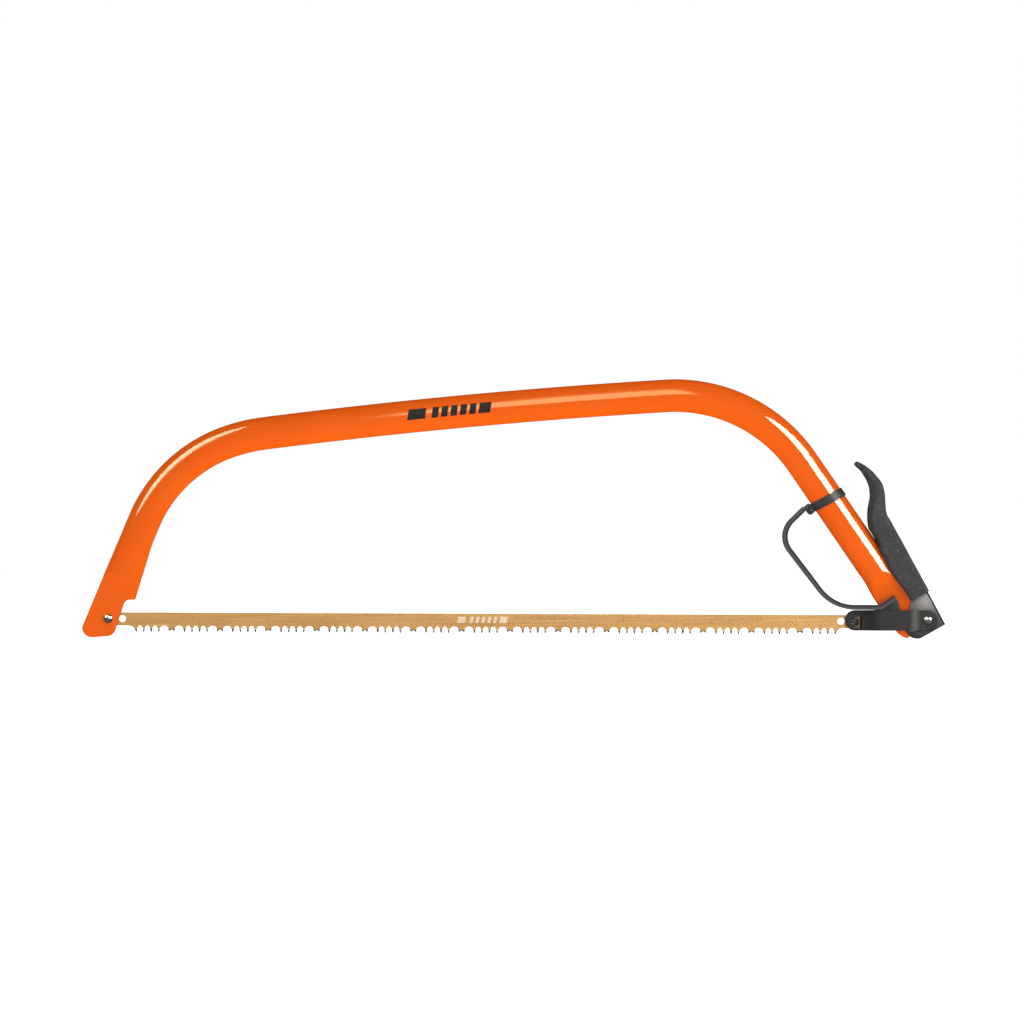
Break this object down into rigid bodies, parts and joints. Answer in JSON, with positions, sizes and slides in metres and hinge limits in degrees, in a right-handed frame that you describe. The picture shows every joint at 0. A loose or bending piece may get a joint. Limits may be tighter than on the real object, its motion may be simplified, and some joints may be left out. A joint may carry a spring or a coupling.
{
  "type": "bow saw",
  "caption": "Bow saw with a bent tubular steel frame, a straight toothed blade for green wood, a fold-over tension lever with a link, and a knuckle guard.",
  "frame": {"origin": "centre of the whole saw's box: half its length, half its height and the middle plane of the blade", "axes": "+X along the blade from the nose to the tension lever, +Y through the saw's thickness away from the side seen in the picture, +Z from the teeth up to the bow"},
  "size_m": [0.8712, 0.028, 0.2634],
  "materials": {
    "orange_enamel": "gloss orange powder enamel over steel tube",
    "bronzed_blade_steel": "bronze-coloured lacquer over brushed spring steel, dark hardened teeth",
    "black_steel": "satin black coating",
    "bright_steel": "polished zinc or nickel plating",
    "grey_steel": "satin grey plating",
    "grip_plastic": "fine-grained matt black",
    "guard_plastic": "smooth satin black"
  },
  "bodies": {
    "frame": {"frame_tube": "orange_enamel", "front_blade_pin": "bright_steel", "pivot_bush": "bright_steel", "guard_strap": "guard_plastic", "guard_collar": "black_steel", "guard_screw": "black_steel", "guard_nut": "black_steel", "guard_rivet": "bright_steel"},
    "lever": {"lever_channel": "grey_steel", "lever_grip": "grip_plastic", "pivot_rivet": "bright_steel", "link_spacer": "bright_steel"},
    "link": {"link_arm_front": "black_steel", "link_arm_rear": "black_steel", "link_rivet": "bright_steel", "blade_pin": "black_steel"},
    "blade": {"blade": "bronzed_blade_steel"}
  },
  "joints": [
    {"name": "lever_pivot", "type": "hinge", "parent": "frame", "child": "lever", "pos_m": [0.4014, 0, -0.1193], "axis": [0, 1, 0], "range_deg": [0, 90]},
    {"name": "link_pivot", "type": "hinge", "parent": "lever", "child": "link", "pos_m": [0.4181, 0, -0.1119], "axis": [0, 1, 0], "range_deg": [-115, 0]},
    {"name": "blade_pivot", "type": "hinge", "parent": "frame", "child": "blade", "pos_m": [-0.4095, 0, -0.1102], "axis": [0, 1, 0], "range_deg": [0, 4.3]}
  ],
  "couplings": [
    {"joint": "link_pivot", "follows": "lever_pivot", "ratio": -1.2762},
    {"joint": "blade_pivot", "follows": "lever_pivot", "ratio": 0.04725}
  ]
}
